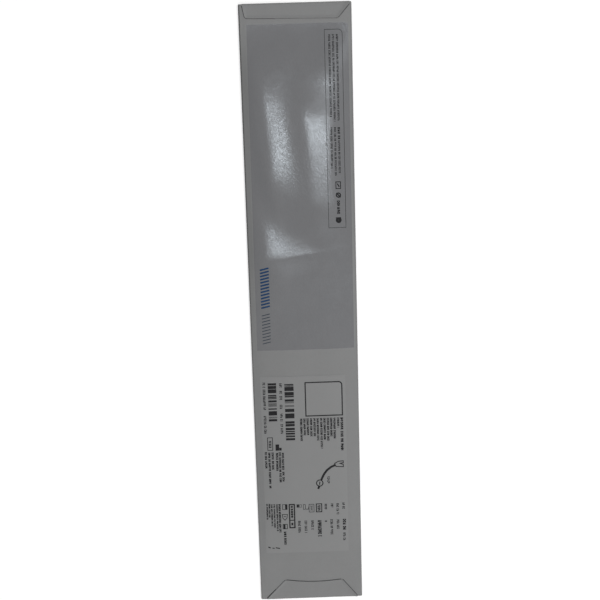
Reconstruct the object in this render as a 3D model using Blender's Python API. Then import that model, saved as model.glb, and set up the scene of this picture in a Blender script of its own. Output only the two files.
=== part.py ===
"""Sealed pack of a urinary catheter, lying on its back.

A flat tube of coated paper holds the catheter, and bulges over its two arms and its shaft. Both ends
of the tube are cut to a tapered flap, folded onto the front and glued. A paper label is stuck to the
lower front. X runs across the pack, +Y towards the end where the catheter's arms lie, +Z up. The
origin is under the middle of the pack. All lengths are in metres.
"""

import math

import bmesh
import bpy

# Size of the closed pack
PACK_WIDTH = 0.080
PACK_LENGTH = 0.455
FOLD_RADIUS = 0.0008

# Bulge over the catheter's shaft, and over the neck between it and the arms. The fade is measured from
# the head end, and the flat and the ramp from the foot end.
SHAFT_RISE = 0.00220
SHAFT_ROUNDNESS = 3.40
NECK_RISE = 0.00301
SHAFT_FADE_START = 0.1764
SHAFT_FADE_END = 0.2000
FOOT_FLAT = 0.020
FOOT_RAMP = 0.055

# Bulge over the catheter's two arms, measured from the head end
ARMS_RISE = 0.00362
ARMS_ROUNDNESS = 4.60
HEAD_FLAT = 0.0100
HEAD_RAMP = 0.0422
ARMS_FADE_START = 0.0859
ARMS_FADE_END = 0.1588

# Ridges over the drainage funnel and over the inflation arm. Each runs from its tip down to the joint
# of the two arms. Places are distances from the middle line and from the head end. The tip's rounding
# is the power by which the ridge falls off before its tip.
TIP_ROUNDING = 1.5
FUNNEL_TIP = (-0.0300, 0.0763)
FUNNEL_JOINT = (-0.0077, 0.1737)
FUNNEL_BEND = -0.0011
FUNNEL_RIDGE = 0.00292
FUNNEL_SPREADS = (0.0063, 0.0161)
FUNNEL_TIP_LENGTH = 0.0203
FUNNEL_FADE = 0.0579
VALVE_TIP = (0.0115, 0.0908)
VALVE_JOINT = (0.0137, 0.1835)
VALVE_BEND = 0.0014
VALVE_RIDGE = 0.00343
VALVE_SPREADS = (0.0129, 0.0143)
VALVE_TIP_LENGTH = 0.0256
VALVE_FADE = 0.0468

# Small bulge over the valve at the end of the inflation arm
KNOB_PLACE = (0.0159, 0.0505)
KNOB_RISE = 0.00100
KNOB_SPREAD = 0.0100

# Crease across the front below the arms, and the crest of paper that it folds
CREASE_DISTANCE = 0.1812
CREASE_SLANT = -0.102
CREST_END = 0.0120
CREST_SLOPE = 0.076
SLOPE_TO_HEAD = 0.070
SLOPE_TO_FOOT = 0.053
CREST_SOFTNESS = 0.0004

# Glued end flaps: how far each reaches down the front, and how far its corners stand in from the
# pack's left and right edges, at the end fold and at the free edge
FLAP_STAND = 0.0004
HEAD_FLAP_LEFT_DEPTH = 0.0098
HEAD_FLAP_RIGHT_DEPTH = 0.0116
HEAD_FLAP_INSETS = (0.0025, 0.0045, 0.0010, 0.0097)
FOOT_FLAP_LEFT_DEPTH = 0.0162
FOOT_FLAP_RIGHT_DEPTH = 0.0154
FOOT_FLAP_SAG = 0.0017
FOOT_FLAP_INSETS = (0.0040, 0.0195, 0.0030, 0.0155)
FLAP_CORNER = 0.0015

# Lap seam along the back
SEAM_OFFSET = 0.006
SEAM_LAP = 0.012
SEAM_STEP = 0.00025

# Label on the lower front, measured from the foot end and from the left edge
LABEL_WIDTH = 0.0645
LABEL_LENGTH = 0.1435
LABEL_FOOT = 0.0397
LABEL_LEFT = 0.0055
LABEL_THICKNESS = 0.0002
LABEL_GAP = 0.0003

# Finish of the two papers
ENVELOPE_COLOUR = (0.172, 0.174, 0.175)
ENVELOPE_ROUGHNESS = 0.42
LABEL_COLOUR = (0.190, 0.192, 0.192)
LABEL_ROUGHNESS = 0.50
CRISP_ANGLE = 40.0

# How finely the paper is divided. The label's cells are larger than the envelope's by its coarseness,
# the end folds turn by their angle, and a cutter reaches past what it cuts by its overreach.
COLUMN_STEP = 0.0024
ROW_STEP = 0.0040
CREASE_ROW_STEP = 0.0012
CREASE_REACH = 0.006
FOLD_STEPS = 4
CORNER_STEPS = 3
LABEL_COARSENESS = 2
END_FOLD_ANGLE = 80.0
CUTTER_OVERREACH = 4
EQUAL_ENOUGH = 1e-6


def clear_scene():
    """Removes whatever the file held before."""
    for old in list(bpy.data.objects):
        bpy.data.objects.remove(old, do_unlink=True)


def smooth(value):
    """Eases from 0 to 1 as the value goes from 0 to 1."""
    t = min(max(value, 0.0), 1.0)
    return t * t * t * (10.0 - 15.0 * t + 6.0 * t * t)


def bell(distance, spread):
    """A rounded hill of height 1, wide by its spread."""
    return math.exp(-0.5 * (distance / spread) ** 2)


def crossways(x, roundness):
    """How far the paper may rise at x: 1 in the middle, 0 at the long folds. The more roundness, the
    flatter the middle and the steeper the flanks."""
    t = abs(x) / (PACK_WIDTH / 2 - FOLD_RADIUS)
    return max(1.0 - t ** roundness, 0.0)


def ridge(x, from_head, tip, joint, bend, height, spreads, tip_length, fade):
    """A ridge over one arm, from its rounded tip down to the joint of the arms, where it fades out.
    It has a spread on each side, and bows sideways by its bend."""
    along = (from_head - tip[1]) / (joint[1] - tip[1])
    # The bow is 0 at the tip and at the joint, and 1 half way between them
    bow = 4.0 * along * (1.0 - along)
    off = x - tip[0] - (joint[0] - tip[0]) * along - bend * bow
    spread = spreads[0] if off < 0.0 else spreads[1]
    before_tip = (max(tip[1] - from_head, 0.0) / tip_length) ** TIP_ROUNDING
    falling = smooth((joint[1] - from_head) / fade)
    return height * falling * bell(math.hypot(off / spread, before_tip), 1.0)


def crest(x, from_head):
    """Rise of the paper to the crease. It is highest at the left, slopes off to both sides of the
    crease, and has run out where the crest ends."""
    above_crease = CREASE_DISTANCE + CREASE_SLANT * x - from_head
    slope = SLOPE_TO_HEAD if above_crease > 0.0 else SLOPE_TO_FOOT
    height = CREST_SLOPE * (CREST_END - x) - slope * abs(above_crease)
    return (height + math.hypot(height, CREST_SOFTNESS)) / 2


def rise(x, y):
    """Height of the front above the closed edge of the pack, at x and y."""
    from_head = PACK_LENGTH / 2 - y
    from_foot = PACK_LENGTH / 2 + y
    at_foot = smooth((from_foot - FOOT_FLAT) / FOOT_RAMP)
    at_head = smooth((from_head - HEAD_FLAT) / HEAD_RAMP)
    arms = 1.0 - smooth((from_head - ARMS_FADE_START) / (ARMS_FADE_END - ARMS_FADE_START))
    shaft = smooth((from_head - SHAFT_FADE_START) / (SHAFT_FADE_END - SHAFT_FADE_START))
    pillow = NECK_RISE + (ARMS_RISE - NECK_RISE) * arms + (SHAFT_RISE - NECK_RISE) * shaft
    ridges = ridge(x, from_head, FUNNEL_TIP, FUNNEL_JOINT, FUNNEL_BEND, FUNNEL_RIDGE,
                   FUNNEL_SPREADS, FUNNEL_TIP_LENGTH, FUNNEL_FADE)
    ridges += ridge(x, from_head, VALVE_TIP, VALVE_JOINT, VALVE_BEND, VALVE_RIDGE,
                    VALVE_SPREADS, VALVE_TIP_LENGTH, VALVE_FADE)
    knob = KNOB_RISE * bell(math.dist((x, from_head), KNOB_PLACE), KNOB_SPREAD)
    height = pillow + ridges + knob + crest(x, from_head)
    roundness = SHAFT_ROUNDNESS + (ARMS_ROUNDNESS - SHAFT_ROUNDNESS) * arms
    return height * crossways(x, roundness) * at_foot * at_head


def steps_between(start, end, step):
    """Evenly spaced values from start up to, but not with, end, no further apart than step."""
    count = max(math.ceil((end - start) / step - EQUAL_ENOUGH), 1)
    return [start + (end - start) * i / count for i in range(count)]


def rows():
    """Where the cross-sections stand along Y, with how much of the pack's thickness each one has.
    They crowd round the crease, and the last ones at each end round off the end fold."""
    half = PACK_LENGTH / 2
    flat_end = half - FOLD_RADIUS
    crease = half - CREASE_DISTANCE
    places = steps_between(-flat_end, crease - CREASE_REACH, ROW_STEP)
    places += steps_between(crease - CREASE_REACH, crease + CREASE_REACH, CREASE_ROW_STEP)
    places += steps_between(crease + CREASE_REACH, flat_end, ROW_STEP)
    places.append(flat_end)
    last = math.radians(END_FOLD_ANGLE)
    turns = [last * i / FOLD_STEPS for i in range(1, FOLD_STEPS + 1)]
    outward = [(flat_end + FOLD_RADIUS * math.sin(a) / math.sin(last), math.cos(a)) for a in turns]
    foot = [(-y, share) for y, share in reversed(outward)]
    return foot + [(y, 1.0) for y in places] + outward


def cross_section(y, share):
    """Points round the pack at y: along the flat back, round one long fold, over the front, round the
    other fold. Share squeezes them towards the mid-height, for the end folds."""
    inner = PACK_WIDTH / 2 - FOLD_RADIUS
    turns = [math.pi * (i / FOLD_STEPS - 0.5) for i in range(FOLD_STEPS + 1)]
    right = [(inner + FOLD_RADIUS * math.cos(a), FOLD_RADIUS * math.sin(a)) for a in turns]
    across = steps_between(-inner, inner, COLUMN_STEP)[1:]
    front = [(x, FOLD_RADIUS + rise(x, y)) for x in reversed(across)]
    left = [(-x, z) for x, z in reversed(right)]
    return [(x, y, FOLD_RADIUS + z * share) for x, z in right + front + left]


def mesh_object(name, bm):
    """Makes an object in the scene from a mesh under construction."""
    mesh = bpy.data.meshes.new(name)
    bm.to_mesh(mesh)
    bm.free()
    obj = bpy.data.objects.new(name, mesh)
    bpy.context.collection.objects.link(obj)
    return obj


def closed_tube(name):
    """The filled paper tube: its cross-sections joined one to the next, and closed at both ends."""
    bm = bmesh.new()
    rings = [[bm.verts.new(p) for p in cross_section(y, share)] for y, share in rows()]
    for ring, following in zip(rings, rings[1:]):
        for i in range(len(ring)):
            bm.faces.new((ring[i - 1], ring[i], following[i], following[i - 1]))
    bm.faces.new(list(rings[0]))
    bm.faces.new(list(reversed(rings[-1])))
    bmesh.ops.recalc_face_normals(bm, faces=bm.faces)
    return mesh_object(name, bm)


def prism(name, outline, low, high):
    """A cutter: an outline in X and Y, drawn up from low to high."""
    bm = bmesh.new()
    base = bm.faces.new([bm.verts.new((x, y, low)) for x, y in outline])
    drawn = bmesh.ops.extrude_face_region(bm, geom=[base])
    upper = [v for v in drawn["geom"] if isinstance(v, bmesh.types.BMVert)]
    bmesh.ops.translate(bm, verts=upper, vec=(0.0, 0.0, high - low))
    bmesh.ops.recalc_face_normals(bm, faces=bm.faces)
    obj = mesh_object(name, bm)
    obj.hide_render = True
    obj.display_type = "WIRE"
    return obj


def boolean(obj, other, operation):
    """Adds a Boolean with another object."""
    modifier = obj.modifiers.new(operation.lower(), "BOOLEAN")
    modifier.operation = operation
    modifier.solver = "EXACT"
    modifier.object = other


def rounded(before, corner, after, radius):
    """Points that round the corner between its two neighbours."""

    def towards(end):
        """The point a radius away from the corner, towards one neighbour."""
        reach = math.dist(corner, end)
        return [c + (e - c) * radius / reach for c, e in zip(corner, end)]

    start, end = towards(before), towards(after)
    points = []
    for i in range(CORNER_STEPS + 1):
        t = i / CORNER_STEPS
        weights = ((1 - t) ** 2, 2 * t * (1 - t), t * t)
        points.append(tuple(sum(w * p[k] for w, p in zip(weights, (start, corner, end))) for k in (0, 1)))
    return points


def flap_outline(insets, left_depth, right_depth, sag, side):
    """Outline of a tapered end flap. Side is 1 at the head end and -1 at the foot. The flap's free
    edge runs between two rounded corners, and its middle may sag towards the end."""
    half_width = PACK_WIDTH / 2
    end = PACK_LENGTH / 2 * side
    beyond = 2 * FLAP_STAND * side
    left_end, left_free, right_end, right_free = insets
    fold_left = (left_end - half_width, end + beyond)
    fold_right = (half_width - right_end, end + beyond)
    free_left = (left_free - half_width, end - left_depth * side)
    free_right = (half_width - right_free, end - right_depth * side)
    middle = ((free_left[0] + free_right[0]) / 2, (free_left[1] + free_right[1]) / 2 + sag * side)
    outline = [fold_left]
    outline += rounded(fold_left, free_left, middle, FLAP_CORNER)
    if sag:
        quarter = (free_right[0] - free_left[0]) / 4
        outline += rounded(free_left, middle, free_right, quarter)
    outline += rounded(middle, free_right, fold_right, FLAP_CORNER)
    outline.append(fold_right)
    return outline


def fold_flap(envelope, name, outline):
    """Lays a glued flap on the front: the outer layer of the pack, cut to the flap's outline and
    raised by the paper, then joined to the envelope."""
    layer = closed_tube(name)
    layer.location.z = FLAP_STAND
    layer.hide_render = True
    layer.display_type = "WIRE"
    height = CUTTER_OVERREACH * (FOLD_RADIUS + SHAFT_RISE + ARMS_RISE)
    boolean(layer, prism(name + "_outline", outline, FOLD_RADIUS, height), "INTERSECT")
    boolean(envelope, layer, "UNION")


def lap_seam(envelope):
    """Steps the back at its lap seam: the under layer slopes away from the free edge of the upper
    one, and meets the flat back again where the lap ends."""
    bm = bmesh.new()
    start, end = SEAM_OFFSET, SEAM_OFFSET + SEAM_LAP
    below = CUTTER_OVERREACH * SEAM_STEP
    slope = SEAM_STEP / SEAM_LAP
    profile = [(start, SEAM_STEP), (end + below / slope, -below), (start, -below)]
    reach = PACK_LENGTH
    near = [bm.verts.new((x, -reach, z)) for x, z in profile]
    far = [bm.verts.new((x, reach, z)) for x, z in profile]
    bm.faces.new(near)
    bm.faces.new(list(reversed(far)))
    for i in range(3):
        bm.faces.new((near[i - 1], near[i], far[i], far[i - 1]))
    bmesh.ops.recalc_face_normals(bm, faces=bm.faces)
    wedge = mesh_object("seam_wedge", bm)
    wedge.hide_render = True
    wedge.display_type = "WIRE"
    boolean(envelope, wedge, "DIFFERENCE")


def paper_material(name, colour, roughness):
    """A coated paper."""
    material = bpy.data.materials.new(name)
    material.use_nodes = True
    shader = material.node_tree.nodes["Principled BSDF"]
    shader.inputs["Base Color"].default_value = (*colour, 1.0)
    shader.inputs["Roughness"].default_value = roughness
    shader.inputs["Metallic"].default_value = 0.0
    return material


def make_envelope():
    """The closed envelope with its two glued flaps and the seam on its back."""
    envelope = closed_tube("envelope")
    envelope.data.materials.append(paper_material("envelope_paper", ENVELOPE_COLOUR, ENVELOPE_ROUGHNESS))
    head = flap_outline(HEAD_FLAP_INSETS, HEAD_FLAP_LEFT_DEPTH, HEAD_FLAP_RIGHT_DEPTH, 0.0, 1)
    foot = flap_outline(FOOT_FLAP_INSETS, FOOT_FLAP_LEFT_DEPTH, FOOT_FLAP_RIGHT_DEPTH, FOOT_FLAP_SAG, -1)
    fold_flap(envelope, "head_flap", head)
    fold_flap(envelope, "foot_flap", foot)
    lap_seam(envelope)
    return envelope


def make_label():
    """The label: a thin sheet that follows the front, a hair above it."""
    left = LABEL_LEFT - PACK_WIDTH / 2
    foot = LABEL_FOOT - PACK_LENGTH / 2
    right = left + LABEL_WIDTH
    head = foot + LABEL_LENGTH
    across = steps_between(left, right, LABEL_COARSENESS * COLUMN_STEP) + [right]
    along = steps_between(foot, head, LABEL_COARSENESS * ROW_STEP) + [head]
    bm = bmesh.new()
    seat = 2 * FOLD_RADIUS + LABEL_GAP
    grid = [[bm.verts.new((x, y, seat + rise(x, y))) for x in across] for y in along]
    for row, following in zip(grid, grid[1:]):
        for i in range(1, len(row)):
            bm.faces.new((row[i - 1], row[i], following[i], following[i - 1]))
    sheet = list(bm.faces)
    drawn = bmesh.ops.extrude_face_region(bm, geom=sheet)
    upper = [v for v in drawn["geom"] if isinstance(v, bmesh.types.BMVert)]
    bmesh.ops.translate(bm, verts=upper, vec=(0.0, 0.0, LABEL_THICKNESS))
    bmesh.ops.recalc_face_normals(bm, faces=bm.faces)
    label = mesh_object("label", bm)
    label.data.materials.append(paper_material("label_paper", LABEL_COLOUR, LABEL_ROUGHNESS))
    return label


def shade(obj):
    """Shades the paper smooth, with crisp folds and flap edges."""
    obj.data.shade_smooth()
    obj.data.set_sharp_from_angle(angle=math.radians(CRISP_ANGLE))


clear_scene()
shade(make_envelope())
shade(make_label())
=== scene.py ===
import math
import random

import bmesh
import bpy
from mathutils import Matrix, Quaternion, Vector, noise


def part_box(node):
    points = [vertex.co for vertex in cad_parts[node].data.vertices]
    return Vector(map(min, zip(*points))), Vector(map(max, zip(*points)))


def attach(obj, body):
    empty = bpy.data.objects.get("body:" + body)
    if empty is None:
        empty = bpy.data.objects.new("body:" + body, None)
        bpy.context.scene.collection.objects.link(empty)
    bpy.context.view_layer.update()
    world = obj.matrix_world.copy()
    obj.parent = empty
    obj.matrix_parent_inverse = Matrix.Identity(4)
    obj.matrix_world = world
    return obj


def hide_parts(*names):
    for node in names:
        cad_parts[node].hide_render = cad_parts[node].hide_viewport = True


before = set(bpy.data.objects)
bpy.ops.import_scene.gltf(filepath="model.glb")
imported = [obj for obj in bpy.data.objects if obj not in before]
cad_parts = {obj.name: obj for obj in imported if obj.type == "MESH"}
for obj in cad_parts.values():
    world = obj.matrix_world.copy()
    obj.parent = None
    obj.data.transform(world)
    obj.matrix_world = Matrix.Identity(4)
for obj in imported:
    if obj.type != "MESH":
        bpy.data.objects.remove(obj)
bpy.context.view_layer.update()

# The envelope: one sheet of grey-white coated paper, wrapped to a flat tube round the catheter and
# closed by a lap seam on the back. The front bulges over the catheter's two arms and its shaft, and
# has buckled to a crease just below the arms.
low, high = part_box("envelope")
WIDTH = high.x - low.x
LENGTH = high.y - low.y
FOLD_RADIUS = 0.0008
PAPER = 0.00015
GLUE_GAP = 0.00006
CELL = 0.001
FOLD_STEPS, FOLD_SHARE = 4, 0.9
CRISP_ANGLE = 50
EQUAL_ENOUGH = 1e-6

# Rise and roundness of the front, and where each stretch of it starts, from the head or the foot
ARMS_RISE, NECK_RISE, SHAFT_RISE = 0.00350, 0.00301, 0.00220
ARMS_ROUND, NECK_LEFT_ROUND, NECK_RIGHT_ROUND, SHAFT_ROUND = 4.60, 6.00, 4.80, 3.40
FOOT_FLAT, FOOT_RAMP = 0.020, 0.055
HEAD_FLAT, HEAD_RAMP = 0.0100, 0.0422
ARMS_END, NECK_START = 0.0859, 0.1588
NECK_END, SHAFT_START = 0.1764, 0.2000

# Ridges over the funnel and the inflation arm, from their tips to the joint of the arms, and the bump
# over the valve: places are from the middle line and from the head
TIP_ROUNDING = 1.5
FUNNEL = {
    "tip": (-0.0318, 0.0690), "joint": (-0.0085, 0.1737), "bend": -0.0020,
    "height": 0.00292, "spreads": (0.0063, 0.0126),
    "tip_length": 0.0203, "fade": 0.0579}
VALVE = {
    "tip": (0.0090, 0.0908), "joint": (0.0137, 0.1835), "bend": 0.0014,
    "height": 0.00343, "spreads": (0.0129, 0.0165),
    "tip_length": 0.0256, "fade": 0.0468}
KNOB = {"place": (0.0159, 0.0505), "height": 0.00100, "spread": 0.0100}

# The crease, the crest of paper that it folds, and the low tail of the crest
CREASE_DISTANCE, CREASE_SLANT = 0.1797, -0.150
CREST_END, CREST_SLOPE = 0.0135, 0.076
SLOPE_TO_HEAD, SLOPE_TO_FOOT = 0.070, 0.053
CREST_SOFT, CREST_SINK = 0.0004, 0.00004
TAIL_END, TAIL_SHARE = 0.028, 0.12

# Waves and ripples of the paper, which fade out close to its folds, and the lap seam of the back
WAVE_HEIGHT, WAVE_WIDTH, WAVE_LENGTH, WAVE_SLICE = 0.00016, 0.013, 0.034, 3.7
RIPPLE_HEIGHT, RIPPLE_WIDTH, RIPPLE_LENGTH, RIPPLE_SLICE = 0.00003, 0.0045, 0.009, 9.1
COCKLE_GROWTH = 3.0
SEAM_OFFSET, SEAM_LAP, SEAM_STEP = 0.006, 0.012, 0.00025
SEAM_RISER = PAPER / 4


def smooth(value):
    """Eases from 0 to 1."""
    t = min(max(value, 0.0), 1.0)
    return t * t * t * (10.0 - 15.0 * t + 6.0 * t * t)


def bell(distance, spread):
    """A rounded hill of height 1."""
    return math.exp(-0.5 * (distance / spread) ** 2)


def ridge(x, from_head, arm):
    """Rise of the paper over one of the catheter's arms. It bows sideways most half way along."""
    (tip_x, tip_y), (joint_x, joint_y) = arm["tip"], arm["joint"]
    along = (from_head - tip_y) / (joint_y - tip_y)
    bow = 4 * along * (1 - along)
    off = x - tip_x - (joint_x - tip_x) * along - arm["bend"] * bow
    spread = arm["spreads"][0 if off < 0 else 1]
    short = (max(tip_y - from_head, 0.0) / arm["tip_length"]) ** TIP_ROUNDING
    falling = smooth((joint_y - from_head) / arm["fade"])
    return arm["height"] * falling * bell(math.hypot(off / spread, short), 1.0)


def crest(x, from_head):
    """Rise of the paper to the crease: highest at the left, with a low tail at the right."""
    above = CREASE_DISTANCE + CREASE_SLANT * x - from_head
    fall = above * SLOPE_TO_HEAD if above > 0.0 else -above * SLOPE_TO_FOOT
    height = CREST_SLOPE * max(CREST_END - x, (TAIL_END - x) * TAIL_SHARE) - fall
    return (height + math.hypot(height, CREST_SOFT)) / 2 - CREST_SINK


def cockle(x, y):
    """Soft waves and small ripples of the paper."""
    wave = noise.noise(Vector((x / WAVE_WIDTH, y / WAVE_LENGTH, WAVE_SLICE)))
    ripple = noise.noise(Vector((x / RIPPLE_WIDTH, y / RIPPLE_LENGTH, RIPPLE_SLICE)))
    return WAVE_HEIGHT * wave + RIPPLE_HEIGHT * ripple


def front_rise(x, y):
    """Height of the front above the closed edge of the envelope."""
    from_head = LENGTH / 2 - y
    from_foot = LENGTH / 2 + y
    arms = 1.0 - smooth((from_head - ARMS_END) / (NECK_START - ARMS_END))
    shaft = smooth((from_head - NECK_END) / (SHAFT_START - NECK_END))
    neck_round = NECK_LEFT_ROUND if x < 0 else NECK_RIGHT_ROUND
    round_by = neck_round + (ARMS_ROUND - neck_round) * arms + (SHAFT_ROUND - neck_round) * shaft
    crossways = max(1.0 - abs(x / (WIDTH / 2 - FOLD_RADIUS)) ** round_by, 0.0)
    at_foot = smooth((from_foot - FOOT_FLAT) / FOOT_RAMP)
    at_head = smooth((from_head - HEAD_FLAT) / HEAD_RAMP)
    pillow = NECK_RISE + (ARMS_RISE - NECK_RISE) * arms + (SHAFT_RISE - NECK_RISE) * shaft
    ridges = ridge(x, from_head, FUNNEL) + ridge(x, from_head, VALVE)
    knob_x, knob_y = KNOB["place"]
    knob = KNOB["height"] * bell(math.hypot(x - knob_x, from_head - knob_y), KNOB["spread"])
    height = pillow + ridges + knob + crest(x, from_head)
    form = max(height, 0.0) * crossways * at_foot * at_head
    return form + cockle(x, y) * min(crossways * COCKLE_GROWTH, 1.0)


def deselect():
    """Leaves nothing selected, in object mode."""
    if bpy.context.mode != "OBJECT":
        bpy.ops.object.mode_set(mode="OBJECT")
    bpy.ops.object.select_all(action="DESELECT")


def finish_with(piece, kind, **settings):
    """Gives a piece a modifier and applies it."""
    modifier = piece.modifiers.new(kind.title(), kind)
    for name, value in settings.items():
        setattr(modifier, name, value)
    deselect()
    piece.select_set(True)
    bpy.context.view_layer.objects.active = piece
    bpy.ops.object.modifier_apply(modifier=modifier.name)


def paper_grid(name, width, length, centre, cell):
    """A flat sheet of square cells, with its place in its mesh."""
    deselect()
    bpy.ops.mesh.primitive_grid_add(
        x_subdivisions=max(round(width / cell), 1), y_subdivisions=max(round(length / cell), 1), size=1)
    sheet = bpy.context.object
    sheet.name = name
    sheet.scale = (width, length, 1)
    sheet.location = (centre[0], centre[1], 0)
    bpy.ops.object.transform_apply(location=True, rotation=False, scale=True)
    return sheet


def shade_paper(piece):
    """Shades the paper smooth, apart from its cut edges and folds."""
    deselect()
    piece.select_set(True)
    bpy.context.view_layer.objects.active = piece
    bpy.ops.object.shade_smooth_by_angle(angle=math.radians(CRISP_ANGLE))


body = paper_grid("envelope_body", WIDTH, LENGTH - 2 * (PAPER + GLUE_GAP), (0, 0), CELL)
bpy.ops.object.mode_set(mode="EDIT")
for side in (SEAM_OFFSET, SEAM_OFFSET + SEAM_RISER):
    bpy.ops.mesh.select_all(action="SELECT")
    bpy.ops.mesh.bisect(plane_co=(side, 0, 0), plane_no=(1, 0, 0))
bpy.ops.object.mode_set(mode="OBJECT")
finish_with(body, "SOLIDIFY", thickness=2 * FOLD_RADIUS, offset=1)
finish_with(
    body, "BEVEL", width=FOLD_RADIUS * FOLD_SHARE, segments=FOLD_STEPS, limit_method="ANGLE",
    angle_limit=math.radians(CRISP_ANGLE))
for vertex in body.data.vertices:
    x, y, z = vertex.co
    share = z / (2 * FOLD_RADIUS)
    into_lap = (x - SEAM_OFFSET) / SEAM_LAP
    under = SEAM_STEP * (1 - into_lap) if EQUAL_ENOUGH < into_lap < 1 else 0.0
    vertex.co.z = z + share * front_rise(x, y) + (1 - share) * under
shade_paper(body)

# The paper itself: matt coated stock with a cloudy fibre, a faint tooth and painted shade in its long
# folds.
# A grey tint is printed over most of the upper front and varnished, so it is darker and glossier.
FIELD_LEFT_HEAD, FIELD_LEFT_FOOT = 0.0053, 0.0043
FIELD_RIGHT = 0.0773
FIELD_TOP, FIELD_BOTTOM = 0.0143, 0.2513
FIELD_CORNER, FIELD_BLUR = 0.003, 0.0003
PAPER_GREY = (0.169, 0.171, 0.171, 1)
FIELD_GREY = (0.1460, 0.1440, 0.1475, 1)
FIELD_SHEEN = (0.84, 0.93, 1.0, 1)
PAPER_SHEEN = (1, 1, 1, 1)
PAPER_IOR = 1.5
STOCK_SIZE, FIBRE_SIZE, FIBRE_STRETCH = 0.012, 0.0011, (1, 1.6, 1)
LUMP_SIZE, LUMP_HEIGHT = 0.0032, 0.00002
HAIR_SIZE, HAIR_HEIGHT, HAIR_STRETCH, HAIR_TURNS = 0.0014, 0.00007, (2.4, 1, 3), (60, -50)
STOCK_SHADES, FIBRE_SHADES, STOCK_ROUGH = (0.975, 1.02), (-0.02, 0.02), (0.46, 0.52)
HAIR_LIMITS, VARNISH_ROUGH = (0.44, 0.70), (0.24, 0.15)
# Painted shade in the long folds: full near each fold, gone further in, and its depth from the foot to the
# head
FOLD_SHADE_FULL, FOLD_SHADE_END = 0.0006, 0.0012
FOLD_SHADE_FOOT, FOLD_SHADE_HEAD = -0.190, 0.080
FOLD_SHADE_AT_LEFT, FOLD_SHADE_AT_RIGHT = (0.90, 0.28), (1.0, 0.80)


def node(tree, kind, *inputs, **settings):
    """Adds a node. Inputs are sockets or plain values, in the node's own order; None leaves one out."""
    made = tree.nodes.new("ShaderNode" + kind)
    for name, value in settings.items():
        setattr(made, name, value)
    for socket, value in zip(made.inputs, inputs):
        if value is None:
            continue
        if isinstance(value, bpy.types.NodeSocket):
            tree.links.new(value, socket)
        else:
            socket.default_value = value
    return made.outputs[0]


def maths(tree, operation, *inputs, clamp=False):
    """Adds a Math node."""
    return node(tree, "Math", *inputs, operation=operation, use_clamp=clamp)


def new_finish(name, roughness):
    """A new material: its tree, its shader and its Object coordinates."""
    material = bpy.data.materials.new(name)
    material.use_nodes = True
    tree = material.node_tree
    shader = tree.nodes["Principled BSDF"]
    shader.inputs["Roughness"].default_value = roughness
    shader.inputs["Metallic"].default_value = 0.0
    shader.inputs["IOR"].default_value = PAPER_IOR
    place = tree.nodes.new("ShaderNodeTexCoord").outputs["Object"]
    return material, tree, shader, place


def cloud(tree, place, size, detail, stretch=(1, 1, 1), turn=0.0):
    """Noise whose blotches measure about size metres, stretched along each axis and turned in plan."""
    turned = node(tree, "Mapping", place, (0, 0, 0), (0, 0, math.radians(turn)))
    scaled = node(tree, "Mapping", turned, (0, 0, 0), (0, 0, 0), tuple(1 / (size * s) for s in stretch))
    made = tree.nodes.new("ShaderNodeTexNoise")
    tree.links.new(scaled, made.inputs["Vector"])
    made.inputs["Scale"].default_value = 1.0
    made.inputs["Detail"].default_value = detail
    return made.outputs["Fac"]


def tooth(tree, shader, place, *layers):
    """Bump of the paper's surface: each layer is a blotch size or a noise, a height and a stretch."""
    normal = None
    for size, height, stretch in layers:
        bump = tree.nodes.new("ShaderNodeBump")
        bump.inputs["Strength"].default_value = 1.0
        bump.inputs["Distance"].default_value = height
        grain = size if isinstance(size, bpy.types.NodeSocket) else cloud(tree, place, size, 3.0, stretch)
        tree.links.new(grain, bump.inputs["Height"])
        if normal:
            tree.links.new(normal, bump.inputs["Normal"])
        normal = bump.outputs["Normal"]
    tree.links.new(normal, shader.inputs["Normal"])


def varied(tree, fac, low_value, high_value):
    """A value that wanders between two limits with a noise."""
    return node(tree, "MapRange", fac, 0.3, 0.7, low_value, high_value)


def mix_colour(tree, fac, first, second, blend="MIX"):
    """Mixes two colours by the Mix node's colour sockets."""
    made = tree.nodes.new("ShaderNodeMix")
    made.data_type = "RGBA"
    made.blend_type = blend
    for index, value in ((0, fac), (6, first), (7, second)):
        if isinstance(value, bpy.types.NodeSocket):
            tree.links.new(value, made.inputs[index])
        else:
            made.inputs[index].default_value = value
    return made.outputs[2]


def axes(tree, place):
    """The x, y and z of a place."""
    split = tree.nodes.new("ShaderNodeSeparateXYZ")
    tree.links.new(place, split.inputs[0])
    return split.outputs


def past(tree, value, limit):
    """How far a value lies past a limit, squared."""
    beyond = maths(tree, "MAXIMUM", maths(tree, "SUBTRACT", value, limit), 0.0)
    return maths(tree, "POWER", beyond, 2.0)


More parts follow.
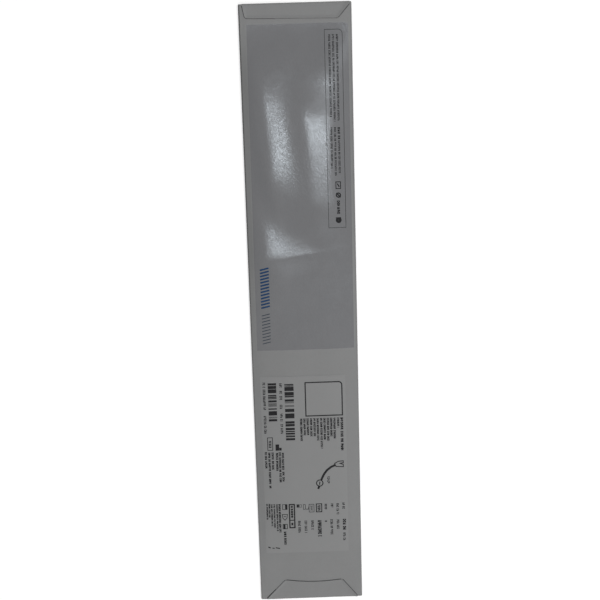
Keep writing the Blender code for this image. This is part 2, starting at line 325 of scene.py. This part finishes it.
def printed_field(tree, place):
    """1 inside the tinted field on the front, 0 outside it. Its left edge slants a little."""
    x, y, z = axes(tree, place)
    skew = (FIELD_LEFT_HEAD - FIELD_LEFT_FOOT) / (FIELD_BOTTOM - FIELD_TOP)
    field_middle = LENGTH / 2 - (FIELD_TOP + FIELD_BOTTOM) / 2
    slant = maths(tree, "MULTIPLY", maths(tree, "SUBTRACT", y, field_middle), skew)
    from_left = maths(tree, "ADD", x, WIDTH / 2 - (FIELD_LEFT_HEAD + FIELD_LEFT_FOOT) / 2)
    from_left = maths(tree, "SUBTRACT", from_left, slant)
    from_foot = maths(tree, "SUBTRACT", y, LENGTH / 2 - FIELD_BOTTOM)
    past_right = past(tree, x, FIELD_RIGHT - FIELD_CORNER - WIDTH / 2)
    past_head = past(tree, y, LENGTH / 2 - FIELD_TOP - FIELD_CORNER)
    corner = maths(tree, "SQRT", maths(tree, "ADD", past_right, past_head))
    inside = maths(tree, "SUBTRACT", FIELD_CORNER, corner)
    inside = maths(tree, "MINIMUM", maths(tree, "MINIMUM", from_left, from_foot), inside)
    covered = maths(tree, "MULTIPLY_ADD", inside, 1 / FIELD_BLUR, 0.5, clamp=True)
    on_front = maths(tree, "GREATER_THAN", z, FOLD_RADIUS)
    return maths(tree, "MULTIPLY", covered, on_front)


def painted_fold_shade(tree, place):
    """How much painted shade darkens the paper in its two long folds: most at the left, towards the head.
    """
    x, y, _ = axes(tree, place)
    from_fold = maths(tree, "SUBTRACT", WIDTH / 2, maths(tree, "ABSOLUTE", x))
    left = node(tree, "MapRange", y, FOLD_SHADE_FOOT, FOLD_SHADE_HEAD, *FOLD_SHADE_AT_LEFT)
    right = node(tree, "MapRange", y, FOLD_SHADE_FOOT, FOLD_SHADE_HEAD, *FOLD_SHADE_AT_RIGHT)
    on_left = maths(tree, "LESS_THAN", x, 0.0)
    darkest = maths(tree, "MULTIPLY_ADD", on_left, maths(tree, "SUBTRACT", left, right), right)
    return node(tree, "MapRange", from_fold, FOLD_SHADE_FULL, FOLD_SHADE_END, darkest, 1.0)


def make_envelope_paper():
    """Coated paper with the tinted field printed on its front, whose varnish has fine crossed hairlines."""
    material, tree, shader, place = new_finish("envelope_paper", 0.4)
    field = printed_field(tree, place)
    stock = cloud(tree, place, STOCK_SIZE, 4.0)
    fibre = cloud(tree, place, FIBRE_SIZE, 3.0, FIBRE_STRETCH)
    base = mix_colour(tree, field, PAPER_GREY, FIELD_GREY)
    shade = maths(tree, "ADD", varied(tree, stock, *STOCK_SHADES), varied(tree, fibre, *FIBRE_SHADES))
    # Painted shade darkens the paper along its two long folds, most along the left one.
    shade = maths(tree, "MULTIPLY", shade, painted_fold_shade(tree, place))
    grey = node(tree, "CombineColor", shade, shade, shade)
    tree.links.new(mix_colour(tree, 1.0, base, grey, "MULTIPLY"), shader.inputs["Base Color"])
    matt = varied(tree, stock, *STOCK_ROUGH)
    hairs = maths(
        tree, "MAXIMUM", *(cloud(tree, place, HAIR_SIZE, 2.0, HAIR_STRETCH, turn) for turn in HAIR_TURNS))
    glossy = node(tree, "MapRange", hairs, *HAIR_LIMITS, *VARNISH_ROUGH)
    rough = tree.nodes.new("ShaderNodeMix")
    for index, value in ((0, field), (2, matt), (3, glossy)):
        tree.links.new(value, rough.inputs[index])
    tree.links.new(rough.outputs[0], shader.inputs["Roughness"])
    sheen = mix_colour(tree, field, PAPER_SHEEN, FIELD_SHEEN)
    tree.links.new(sheen, shader.inputs["Specular Tint"])
    tooth(tree, shader, place, (LUMP_SIZE, LUMP_HEIGHT, (1, 1, 1)), (hairs, HAIR_HEIGHT, None))
    return material


envelope_paper = make_envelope_paper()
body.data.materials.append(envelope_paper)
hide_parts("envelope")
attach(body, "root")

# The two end flaps: the sheet's ends, cut to a taper, folded over from the back onto the front and
# glued. The glue holds the middle, and the cut edges stand a hair off the paper below.
EDGE_LIFT, LIFT_REACH = 0.00035, 0.0022
FLAP_CELL, FLAP_CORNER, FLAP_SPARE = 0.0008, 0.0015, 0.001
WRAP_STEPS, WRAP_TURN = 8, 128
INSIDE_FLAP = 0.004
MERGE_DISTANCE, ON_THE_FOLD = 1e-7, 1e-5
HEAD_FLAP = {
    "side": 1, "fold": (-0.0375, 0.0390), "free": (-0.0355, 0.0303),
    "depths": (0.0099, 0.0111), "sag": 0.0}
FOOT_FLAP = {
    "side": -1, "fold": (-0.0360, 0.0370), "free": (-0.0205, 0.0245),
    "depths": (0.0162, 0.0154), "sag": 0.0017}


def front_height(x, y):
    """Height of the front above the ground."""
    return 2 * FOLD_RADIUS + front_rise(x, y)


def cut(point, outward):
    """Cuts the selected sheet along a line and drops what lies outside."""
    bpy.ops.mesh.select_all(action="SELECT")
    bpy.ops.mesh.bisect(
        plane_co=(*point, 0), plane_no=(*outward, 0), clear_outer=True, threshold=MERGE_DISTANCE)


def cut_between(start, end, inside):
    """Cuts along the line from start to end, and keeps the side where inside lies."""
    along = Vector(end) - Vector(start)
    outward = Vector((along.y, -along.x))
    if outward.dot(Vector(inside) - Vector(start)) > 0:
        outward.negate()
    cut(start, outward.normalized())


def distance_to_line(point, start, end):
    """How far a point lies from the line through start and end."""
    along = (Vector(end) - Vector(start)).normalized()
    return abs(along.cross(Vector(point) - Vector(start)))


def make_flap(name, flap):
    """Cuts a flap, lays it on the front and rolls its end round the fold."""
    side = flap["side"]
    end = (LENGTH / 2 - PAPER - GLUE_GAP) * side
    left_fold, right_fold = [(x, end) for x in flap["fold"]]
    left_free, right_free = [(x, end - depth * side) for x, depth in zip(flap["free"], flap["depths"])]
    depth = max(flap["depths"]) + FLAP_SPARE
    roll = end - FOLD_RADIUS * side
    flap_body = paper_grid(name, WIDTH, depth, (0, roll - (depth / 2) * side), FLAP_CELL)
    bpy.ops.object.mode_set(mode="EDIT")
    middle = (0.0, roll - INSIDE_FLAP * side)
    cut_between(left_fold, left_free, middle)
    cut_between(right_fold, right_free, middle)
    cut_between(left_free, right_free, middle)
    for corner, before, after in ((left_free, left_fold, right_free), (right_free, right_fold, left_free)):
        corner, before, after = Vector(corner), Vector(before), Vector(after)
        first = corner + (before - corner).normalized() * FLAP_CORNER
        second = corner + (after - corner).normalized() * FLAP_CORNER
        bulge = ((first + second) / 2 + corner) / 2
        cut_between(first, bulge, middle)
        cut_between(bulge, second, middle)
    bpy.ops.object.mode_set(mode="OBJECT")
    edges = ((left_fold, left_free), (right_fold, right_free), (left_free, right_free))
    for vertex in flap_body.data.vertices:
        point = vertex.co.xy.copy()
        nearest = min(distance_to_line(point, *edge) for edge in edges)
        lift = EDGE_LIFT * (1 - smooth(nearest / LIFT_REACH))
        t = (point.x - (left_free[0] + right_free[0]) / 2) / ((right_free[0] - left_free[0]) / 2)
        reach = smooth(abs(point.y - roll) / abs(left_free[1] - roll))
        vertex.co.y += flap["sag"] * side * max(1 - t * t, 0) * reach
        vertex.co.z = front_height(vertex.co.x, vertex.co.y) + GLUE_GAP + lift
    bpy.ops.object.mode_set(mode="EDIT")
    bpy.ops.mesh.select_all(action="DESELECT")
    bpy.ops.object.mode_set(mode="OBJECT")
    for edge in flap_body.data.edges:
        ends = [flap_body.data.vertices[i].co for i in edge.vertices]
        edge.select = all(abs(p.y - roll) < ON_THE_FOLD for p in ends)
    bpy.ops.object.mode_set(mode="EDIT")
    bpy.ops.mesh.select_mode(type="EDGE")
    radius = FOLD_RADIUS + GLUE_GAP
    for step in range(WRAP_STEPS):
        turn = [math.radians(WRAP_TURN) * i / WRAP_STEPS for i in (step, step + 1)]
        out = radius * (math.sin(turn[1]) - math.sin(turn[0])) * side
        up = radius * (math.cos(turn[1]) - math.cos(turn[0]))
        bpy.ops.mesh.extrude_region_move(TRANSFORM_OT_translate={"value": (0, out, up)})
    bpy.ops.mesh.select_all(action="SELECT")
    bpy.ops.mesh.normals_make_consistent(inside=False)
    bpy.ops.object.mode_set(mode="OBJECT")
    facing = sum(polygon.normal.z * polygon.area for polygon in flap_body.data.polygons)
    finish_with(flap_body, "SOLIDIFY", thickness=PAPER, offset=1 if facing > 0 else -1)
    shade_paper(flap_body)
    flap_body.data.materials.append(envelope_paper)
    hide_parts("envelope")
    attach(flap_body, "root")


make_flap("head_flap", HEAD_FLAP)
make_flap("foot_flap", FOOT_FLAP)

# The label: a rectangle of matt self-adhesive paper, cut from a roll, printed in black and stuck flat
# to the lower front. It is a little lighter than the envelope.
label_low, label_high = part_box("label")
LABEL_PAPER = 0.0001
LABEL_GREY = (0.185, 0.187, 0.187, 1)
LABEL_STOCK_SIZE, LABEL_FIBRE_SIZE = 0.009, 0.0008
LABEL_STOCK_SHADES, LABEL_FIBRE_SHADES, LABEL_ROUGH = (0.985, 1.015), (-0.015, 0.015), (0.48, 0.55)
LABEL_LUMP_SIZE, LABEL_LUMP_HEIGHT = 0.004, 0.00005
GRAIN_SIZE, GRAIN_HEIGHT = 0.0007, 0.00002


def make_label_paper():
    """Matt label paper."""
    material, tree, shader, place = new_finish("label_paper", 0.5)
    stock = cloud(tree, place, LABEL_STOCK_SIZE, 4.0)
    fibre = cloud(tree, place, LABEL_FIBRE_SIZE, 3.0)
    clouds, specks = varied(tree, stock, *LABEL_STOCK_SHADES), varied(tree, fibre, *LABEL_FIBRE_SHADES)
    shade = maths(tree, "ADD", clouds, specks)
    grey = node(tree, "CombineColor", shade, shade, shade)
    tree.links.new(mix_colour(tree, 1.0, LABEL_GREY, grey, "MULTIPLY"), shader.inputs["Base Color"])
    tree.links.new(varied(tree, stock, *LABEL_ROUGH), shader.inputs["Roughness"])
    tooth(
        tree, shader, place, (LABEL_LUMP_SIZE, LABEL_LUMP_HEIGHT, (1, 1, 1)),
        (GRAIN_SIZE, GRAIN_HEIGHT, (1, 1, 1)))
    return material


label_size = label_high - label_low
label_centre = (label_high + label_low) / 2
label = paper_grid("label_sheet", label_size.x, label_size.y, label_centre, CELL)
for vertex in label.data.vertices:
    vertex.co.z = front_height(vertex.co.x, vertex.co.y) + GLUE_GAP
finish_with(label, "SOLIDIFY", thickness=LABEL_PAPER, offset=1)
shade_paper(label)
label.data.materials.append(make_label_paper())
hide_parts("label")
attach(label, "root")

# The print on the label: black lines of words, two bar codes, ruled boxes and plain symbols, and a line
# drawing of a catheter. Every word is a row of letter-like ticks. Each mark is a film of ink, printed
# on the flat sheet and laid along the paper.
INK, INK_GAP, INK_IOR = 0.00003, 0.00002, 1.25
SPECK_SIZE, SPECK_SHADES, SPECK_ROUGH = 0.0006, (0.75, 1.35), 0.05
MARK_CELL, ARC_STEPS, SHARPEST_BEND = 2.0, 6, 0.5
SHORTEST_WORD, LONGEST_WORD, FULL_STEMS = 2, 8, 0.75
BAR_WIDTH, BARS_FILLED = 0.34, 0.55
LENS_PLACE, LENS_HEIGHT = Vector((-0.010, 0.162)), 0.732
BLANK, FULL = (0, 0, 0), (1, 1, 1)
BOWLS = ((1, 0, 1), FULL, (1, 1, 0), (0, 1, 1), (1, 0, 1))
pick = random.Random(11)


def start_print(name):
    """An empty piece, open in edit mode for its marks."""
    deselect()
    bpy.ops.mesh.primitive_plane_add(size=1)
    piece = bpy.context.object
    piece.name = name
    bpy.ops.object.mode_set(mode="EDIT")
    bpy.ops.mesh.select_all(action="SELECT")
    bpy.ops.mesh.delete(type="VERT")
    bpy.ops.mesh.select_mode(type="FACE")
    return piece


def exact(u, v):
    """A point given in millimetres from the left edge and from the head."""
    return Vector((u / 1000 - WIDTH / 2, LENGTH / 2 - v / 1000))


def spot(u, v):
    """Such a point as the camera sees it: slid towards the place below the lens by the paper's rise."""
    seen = exact(u, v)
    return seen.lerp(LENS_PLACE, front_height(*seen) / LENS_HEIGHT)


def add_cells(across, along, place, keep=None):
    """Adds a sheet of cells, puts its corners where place says, and drops the cells that keep refuses."""
    bpy.ops.mesh.select_all(action="DESELECT")
    bpy.ops.mesh.primitive_grid_add(x_subdivisions=across, y_subdivisions=along, size=1)
    mesh = bmesh.from_edit_mesh(bpy.context.object.data)
    refused = []
    for face in mesh.faces:
        if face.select and keep:
            centre = face.calc_center_median()
            if not keep(int((centre.x + 0.5) * across), int((0.5 - centre.y) * along)):
                refused.append(face)
    for vertex in mesh.verts:
        if vertex.select:
            vertex.co.xy = place(vertex.co.x + 0.5, 0.5 - vertex.co.y)
    bpy.ops.mesh.select_all(action="DESELECT")
    for face in refused:
        face.select_set(True)
    bmesh.update_edit_mesh(bpy.context.object.data)
    if refused:
        bpy.ops.mesh.delete(type="FACE")


def add_box(u0, u1, v0, v1, across=0, along=0, keep=None):
    """Adds a rectangle of ink."""
    across = across or max(math.ceil((u1 - u0) / MARK_CELL), 1)
    along = along or max(math.ceil((v1 - v0) / MARK_CELL), 1)
    add_cells(across, along, lambda s, t: spot(u0 + (u1 - u0) * s, v0 + (v1 - v0) * t), keep)


def add_words(u, v0, v1, height, letter, bold=False):
    """Adds a line of words that runs from the head to the foot."""
    count = max(int((v1 - v0) / letter), 3)
    columns = []
    while len(columns) < count:
        for _ in range(pick.randint(SHORTEST_WORD, LONGEST_WORD)):
            stem = FULL if pick.random() < FULL_STEMS else (pick.randint(0, 1), 1, 1)
            columns += [stem, pick.choice(BOWLS)]
            columns += [FULL, pick.choice(((0, 1, 0), BLANK))] if bold else [BLANK]
        columns += [BLANK, BLANK]
    add_box(u - height / 2, u + height / 2, v0, v1, 3, count, lambda i, j: columns[j][i])


def add_bar_code(u0, u1, *groups):
    """Adds bars that lie across, in groups from the head to the foot: a group is black or striped."""
    for v0, v1, striped in groups:
        if striped:
            count = round((v1 - v0) / BAR_WIDTH)
            bars = [pick.random() < BARS_FILLED or j % 2 == 0 for j in range(count)]
            add_box(u0, u1, v0, v1, 4, count, lambda i, j: bars[j])
        else:
            add_box(u0, u1, v0, v1)


def add_line(points, width, closed=False, where=spot):
    """Adds a line of ink of one width along points in millimetres."""
    points = [Vector(p) for p in points]
    path = []
    ends = zip(points, points[1:] + points[:1]) if closed else zip(points, points[1:])
    for start, end in ends:
        steps = max(math.ceil((end - start).length / MARK_CELL), 1)
        path += [start.lerp(end, i / steps) for i in range(steps)]
    path.append(points[0] if closed else points[-1])
    path = [where(*p) for p in path]
    last = len(path) - 1
    legs = [path[i + 1] - path[i] for i in range(last)]

    def offset(i):
        before = legs[i - 1] if i or closed else legs[0]
        after = legs[i] if i < last else legs[0 if closed else -1]
        first, second = [Vector((-leg.y, leg.x)).normalized() for leg in (before, after)]
        middle = (first + second).normalized()
        return middle / max(middle.dot(first), SHARPEST_BEND)

    def place(s, t):
        i = round(s * last)
        return path[i] + offset(i) * (0.5 - t) * width / 1000

    add_cells(last, 1, place)


def add_frame(u0, u1, v0, v1, width, radius=0.0):
    """Adds a ruled box, with its corner at the right of the head rounded."""
    centre = (u1 - width / 2 - radius, v0 + width / 2 + radius)
    turns = [math.radians(90 * i / ARC_STEPS - 90) for i in range(ARC_STEPS + 1)] if radius else [0.0]
    corner = [(centre[0] + radius * math.cos(a), centre[1] + radius * math.sin(a)) for a in turns]
    half = width / 2
    add_line(corner + [(u1 - half, v1 - half), (u0 + half, v1 - half), (u0 + half, v0 + half)], width, True)


def add_ring(u, v, radius, width):
    """Adds a circle."""
    turns = [math.radians(360 * i / (4 * ARC_STEPS)) for i in range(4 * ARC_STEPS)]
    add_line([(u + radius * math.cos(a), v + radius * math.sin(a)) for a in turns], width, True)


def make_ink(name, colour, roughness):
    """Printing ink, or a dark film of painted shadow, that lies a little unevenly on the paper."""
    material, tree, shader, place = new_finish(name, roughness)
    shader.inputs["IOR"].default_value = INK_IOR
    speck = cloud(tree, place, SPECK_SIZE, 3.0)
    shade = varied(tree, speck, *SPECK_SHADES)
    grey = node(tree, "CombineColor", shade, shade, shade)
    tree.links.new(mix_colour(tree, 1.0, colour, grey, "MULTIPLY"), shader.inputs["Base Color"])
    rough = varied(tree, speck, roughness - SPECK_ROUGH, roughness + SPECK_ROUGH)
    tree.links.new(rough, shader.inputs["Roughness"])
    tooth(tree, shader, place, (GRAIN_SIZE, GRAIN_HEIGHT, (1, 1, 1)))
    return material


def lay_print(piece, ground, ink, carrier):
    """Closes a piece of print, lays it on its paper and gives it its ink."""
    bpy.ops.mesh.select_all(action="SELECT")
    bpy.ops.mesh.remove_doubles(threshold=MERGE_DISTANCE)
    bpy.ops.object.mode_set(mode="OBJECT")
    for vertex in piece.data.vertices:
        vertex.co.z = front_height(vertex.co.x, vertex.co.y) + ground + INK_GAP
    finish_with(piece, "SOLIDIFY", thickness=INK, offset=1)
    piece.data.materials.append(ink)
    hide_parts(carrier)
    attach(piece, "root")


black_ink = make_ink("black_ink", (0.006, 0.006, 0.007, 1), 0.50)

label_words = start_print("label_words")
for u, rows in (
        (35.7, ((306.5, 324.5),)), (38.2, ((306.5, 320),)), (40.7, ((306.5, 320),)),
        (43.3, ((306.5, 321),)), (45.9, ((306.5, 321),)), (48.4, ((306.5, 324.5),)),
        (51.1, ((306.5, 331),)), (53.6, ((306.5, 324),)), (56.2, ((306.5, 325),)),
        (58.7, ((306.5, 321.5),)), (61.2, ((306.5, 323.5),)), (64.0, ((306.5, 314.5),)),
        (7.8, ((332.5, 339), (340, 346))), (10.4, ((333, 348), (349, 358.5), (360, 363))),
        (13.0, ((333, 339), (340, 347))), (16.3, ((333.5, 348.5),)), (18.5, ((333, 349), (350, 357.5))),
        (20.8, ((333.5, 347.5), (349, 352), (353.3, 357))), (16.9, ((375.5, 399),))):
    for v0, v1 in rows:
        add_words(u, v0, v1, 1.75, 0.29, True)
for u, v0, v1 in (
        (7.2, 375, 388), (9.0, 375, 386.5), (10.8, 375.5, 393.5), (12.8, 375.5, 395), (14.9, 375.5, 398)):
    add_words(u, v0, v1, 1.3, 0.26, True)
for u, rows in (
        (8.2, ((277, 281), (282.5, 299), (303.5, 317.5))),
        (20.8, ((278, 281.5), (284, 286.8), (288, 291.5), (295, 298.5), (302, 308), (310.5, 318))),
        (11.3, ((323.5, 329.5),)), (55.5, ((354, 360),)), (32.0, ((390, 400),)), (37.0, ((390, 400),)),
        (42.2, ((390, 397.5),)), (57.2, ((389.5, 402.5),)), (62.2, ((390, 397.5), (376.5, 385.5))),
        (57.8, ((376.5, 379.5),)), (52.8, ((376.5, 381),)), (66.8, ((376, 381),)), (67.0, ((401, 408.5),))):
    for v0, v1 in rows:
        add_words(u, v0, v1, 2.0, 0.38)
for u, v0, v1, height in (
        (66.8, 306.5, 333, 2.1), (47.8, 390, 403.5, 3.0), (67.2, 389.5, 398.5, 2.5),
        (20.6, 398.5, 403, 1.9), (20.6, 404, 409.5, 1.9), (47.6, 377.5, 382, 2.2)):
    add_words(u, v0, v1, height, 0.42, True)
lay_print(label_words, GLUE_GAP + LABEL_PAPER, black_ink, "label")

label_codes = start_print("label_codes")
add_bar_code(
    11.1, 17.5, (277.7, 279.4, True), (279.8, 282.2, False), (282.5, 285.5, False), (286.9, 290.2, True),
    (291.2, 292.8, False), (293.6, 296.4, True), (297.6, 298.6, False), (299.8, 303.2, False),
    (304.3, 305.4, True), (306.2, 307.9, False))
add_bar_code(
    23.7, 30.7, (278.7, 280.6, True), (281.0, 284.2, False), (285.0, 287.8, False), (288.1, 289.2, True),
    (290.8, 293.8, True), (295.6, 297.0, True), (298.4, 300.9, False), (302.1, 306.0, False),
    (308.3, 310.1, False), (310.5, 312.4, False), (313.6, 315.4, False), (316.0, 317.0, True),
    (317.6, 318.9, False), (319.4, 321.1, True), (321.9, 323.6, False))
lay_print(label_codes, GLUE_GAP + LABEL_PAPER, black_ink, "label")

label_symbols = start_print("label_symbols")
add_frame(39.1, 67.9, 277.6, 305.0, 0.9, 2.5)
add_frame(9.2, 13.5, 320.8, 331.4, 0.5)
add_box(15.4, 18.2, 326.6, 331.6)
add_box(18.3, 20.1, 329.4, 331.6)
add_frame(24.0, 28.9, 375.7, 395.9, 1.0)
add_line(((24.8, 389.2), (28.1, 389.2)), 0.8)
add_box(25.6, 27.3, 377.4, 378.8)
add_box(25.6, 27.3, 379.6, 387.6, 3, 12, lambda i, j: j % 3 != 2 or i == 1)
add_box(25.7, 27.2, 391.3, 393.4)
add_frame(19.0, 23.0, 375.8, 380.3, 0.4)
add_box(21.2, 22.6, 376.2, 379.9)
add_line(((18.9, 384.2), (22.8, 384.2), (22.4, 387.2), (20.8, 389.0), (19.2, 387.2)), 0.5, True)
add_line(((20.0, 386.0), (21.6, 386.0)), 0.6)
add_frame(18.9, 22.7, 392.2, 396.4, 0.5)
add_box(19.6, 21.0, 392.7, 395.9)
add_box(30.2, 32.1, 376.2, 378.8)
add_frame(32.2, 34.2, 376.4, 378.8, 0.3)
add_frame(35.2, 37.2, 376.4, 380.6, 0.4)
add_line(((37.4, 380.4), (39.6, 380.4), (39.6, 378.4)), 0.5)
add_frame(39.7, 43.9, 376.3, 383.1, 0.4)
add_box(41.0, 42.6, 377.6, 381.6, 3, 5, lambda i, j: (i + j) % 2 == 0)
add_frame(45.2, 50.1, 376.0, 383.3, 0.7)
add_box(52.0, 53.6, 390.4, 391.4)
add_line(((7.0, 411.0), (8.8, 411.9)), 0.9)
add_line(((10.2, 412.0), (12.0, 412.2)), 0.7)
add_line(((12.8, 411.8), (16.2, 412.5)), 0.8)
lay_print(label_symbols, GLUE_GAP + LABEL_PAPER, black_ink, "label")

label_drawing = start_print("label_drawing")
drawn_funnel = (
    (60.6, 343.6), (63.4, 341.9), (67.3, 341.6), (67.3, 343.2), (64.4, 343.6), (67.3, 344.6),
    (67.3, 346.4), (61.6, 346.0))
drawn_shaft = (
    (61.2, 344.8), (57.8, 346.3), (54.6, 348.8), (52.2, 352.0), (50.6, 355.2), (50.0, 356.6))
add_line(drawn_funnel, 0.7, True)
add_line(drawn_shaft, 1.7)
add_ring(48.7, 359.2, 2.5, 0.8)
add_line(((48.9, 358.0), (48.5, 360.6)), 0.8)
add_line(((48.2, 361.8), (47.4, 364.0)), 1.6)
lay_print(label_drawing, GLUE_GAP + LABEL_PAPER, black_ink, "label")

# The print on the tinted field: a thin ruled box of small words and plain symbols beside the right edge,
# and beside the left one a row of blue slanted ticks and a row of thinner grey ones. It is ink too.
FIELD_WORD_HEIGHT, FIELD_LETTER = 1.45, 0.32
TICK_PITCH = 2.4


def add_ticks(count, left, right, width):
    """Adds a row of slanted ticks from the head to the foot. Left and right are the first one's ends."""
    for step in range(count):
        down = Vector((0, TICK_PITCH * step))
        add_line((Vector(left) + down, Vector(right) + down), width)


field_words = start_print("field_words")
add_frame(60.3, 73.2, 18.8, 160.5, 0.28, 3.0)
for u, rows in (
        (63.8, ((22.5, 80), (87.5, 117))), (66.5, ((22.5, 83.3), (87.5, 122.5))),
        (69.3, ((22.5, 83), (97, 120.5)))):
    for v0, v1 in rows:
        add_words(u, v0, v1, FIELD_WORD_HEIGHT, FIELD_LETTER)
add_words(69.3, 87.5, 96, 1.7, 0.42, True)
add_words(67.9, 140.5, 144.5, 2.1, 0.42, True)
add_words(67.9, 145.3, 150.3, 2.1, 0.42, True)
add_frame(66, 70, 126.5, 132, 0.6)
add_line(((67.3, 128), (68.7, 130.5)), 0.8)
add_line(((66.4, 134.9), (69.6, 138.1)), 0.9)
add_ring(68, 136.5, 1.5, 0.9)
add_ring(67.8, 154.9, 1.15, 2.0)
add_line(((65.7, 153.2), (69.6, 153.2)), 0.9)
lay_print(field_words, 0.0, black_ink, "envelope")

blue_ink = make_ink("blue_ink", (0.008, 0.034, 0.095, 1), 0.4)
blue_ticks = start_print("blue_ticks")
add_ticks(13, (8.4, 190.5), (15.0, 189.0), 1.2)
lay_print(blue_ticks, 0.0, blue_ink, "envelope")

grey_ink = make_ink("grey_ink", (0.022, 0.030, 0.045, 1), 0.4)
grey_ticks = start_print("grey_ticks")
add_ticks(10, (8.6, 225.2), (14.8, 223.8), 0.6)
lay_print(grey_ticks, 0.0, grey_ink, "envelope")

# The end flaps' cut edges: a thin dark film of painted shadow lies along each, where the lifted edge
# shades the paper, so each edge shows as a thin dark line. It is widest at the left corner of the foot.
FREE_MIDDLE, FREE_HALF, FREE_SAG, FREE_STEPS = Vector((42.0, 439.2)), Vector((21.4, 0.4)), 1.6, 8
painted_edge_shadow = make_ink("painted_edge_shadow", (0.040, 0.040, 0.041, 1), 0.5)

flap_edge_shadow = start_print("flap_edge_shadow")
add_line(((2.6, 1.4), (4.3, 9.0), (5.6, 10.0), (26.0, 10.4)), 0.75, where=exact)
add_line(((26.1, 10.4), (69.2, 11.2), (70.8, 10.7), (78.6, 1.9)), 0.45, where=exact)
free_edge = []
for i in range(FREE_STEPS + 1):
    t = 2 * i / FREE_STEPS - 1
    free_edge.append(FREE_MIDDLE + FREE_HALF * t + Vector((0, FREE_SAG * (1 - t * t))))
add_line(free_edge, 0.7, where=exact)
add_line(((4.9, 454.0), (12.0, 446.6)), 1.4, where=exact)
add_line(((12.1, 446.5), (19.2, 439.0)), 0.45, where=exact)
add_line(((64.8, 439.9), (76.2, 454.0)), 0.8, where=exact)
lay_print(flap_edge_shadow, 0.0, painted_edge_shadow, "envelope")

# The studio: a white floor, pale surroundings and three softboxes, all to the right of the pack: a long
# strip high above it, a large one far beyond the head, and a low one beyond the foot.
FLOOR_SIZE = 8.0
GLOW_NEAR, GLOW_FAR = 0.35, 0.70
NEAR, FAR = 0.6, 1.8
KEY = {"place": (0.390, 0.108, 2.0), "size": (0.98, 0.20), "power": 9.8}
FILL = {"place": (1.35, 1.35, 1.9), "size": (2.0, 2.0), "power": 15.0}
FOOT = {"place": (0.45, -0.85, 0.85), "size": (1.0, 1.0), "power": 4.2}
AMBIENT = 0.42
FLOOR_DROP, FLOOR_WHITE, WHITE = 0.0002, (0.8, 0.8, 0.8, 1), (1, 1, 1, 1)


def seen_directly(tree):
    """1 for rays of the camera, of mirror reflections and of clear glass."""
    path = tree.nodes.new("ShaderNodeLightPath").outputs
    seen = maths(tree, "MAXIMUM", path["Is Camera Ray"], path["Is Glossy Ray"])
    return maths(tree, "MAXIMUM", seen, path["Is Transmission Ray"])


deselect()
bpy.ops.mesh.primitive_plane_add(size=FLOOR_SIZE, location=(0, 0, -FLOOR_DROP))
floor = bpy.context.object
floor.name = "floor"
material = bpy.data.materials.new("floor_white")
material.use_nodes = True
tree = material.node_tree
tree.nodes.remove(tree.nodes["Principled BSDF"])
matt = node(tree, "BsdfDiffuse", FLOOR_WHITE)
distance = tree.nodes.new("ShaderNodeVectorMath")
distance.operation = "LENGTH"
tree.links.new(tree.nodes.new("ShaderNodeTexCoord").outputs["Object"], distance.inputs[0])
strength = node(tree, "MapRange", distance.outputs["Value"], NEAR, FAR, GLOW_NEAR, GLOW_FAR)
glow = node(tree, "Emission", WHITE, maths(tree, "MULTIPLY", seen_directly(tree), strength))
added = node(tree, "AddShader", matt, glow)
tree.links.new(added, tree.nodes["Material Output"].inputs["Surface"])
floor.data.materials.append(material)

world = bpy.data.worlds.new("studio")
bpy.context.scene.world = world
world.use_nodes = True
tree = world.node_tree
level = maths(tree, "MULTIPLY_ADD", seen_directly(tree), 1 - AMBIENT, AMBIENT)
tree.links.new(level, tree.nodes["Background"].inputs["Strength"])
tree.nodes["Background"].inputs["Color"].default_value = WHITE

for name, softbox in (("key", KEY), ("fill", FILL), ("foot", FOOT)):
    data = bpy.data.lights.new(name, "AREA")
    data.shape = "RECTANGLE"
    data.size, data.size_y = softbox["size"]
    data.energy = softbox["power"]
    lamp = bpy.data.objects.new(name, data)
    bpy.context.collection.objects.link(lamp)
    lamp.location = softbox["place"]
    away = Vector(softbox["place"]).normalized()
    across = Vector((0, 1, 0)).cross(away).normalized()
    lamp.rotation_euler = Matrix((across, away.cross(across), away)).transposed().to_euler()

# The camera: a 60 mm lens on a 36 mm sensor, above the upper third of the pack and a little to its
# left, turned so that the pack's head is at the top of the picture.
LENS, SENSOR_WIDTH, NEAREST = 60, 36, 0.01
CAMERA_PLACE = (-0.0104, 0.1619, 0.7322)
CAMERA_AIM = (-0.0024, 0.0136, 0.0)
CAMERA_TURN = -175.15
camera_data = bpy.data.cameras.new("camera")
camera_data.lens = LENS
camera_data.sensor_width = SENSOR_WIDTH
camera_data.clip_start = NEAREST
camera = bpy.data.objects.new("camera", camera_data)
bpy.context.collection.objects.link(camera)
camera.location = CAMERA_PLACE
camera.rotation_mode = "QUATERNION"
view = (Vector(CAMERA_AIM) - Vector(CAMERA_PLACE)).normalized()
camera.rotation_quaternion = Quaternion(view, math.radians(CAMERA_TURN)) @ view.to_track_quat("-Z", "Y")
bpy.context.scene.camera = camera
bpy.context.scene.view_settings.view_transform = "Standard"
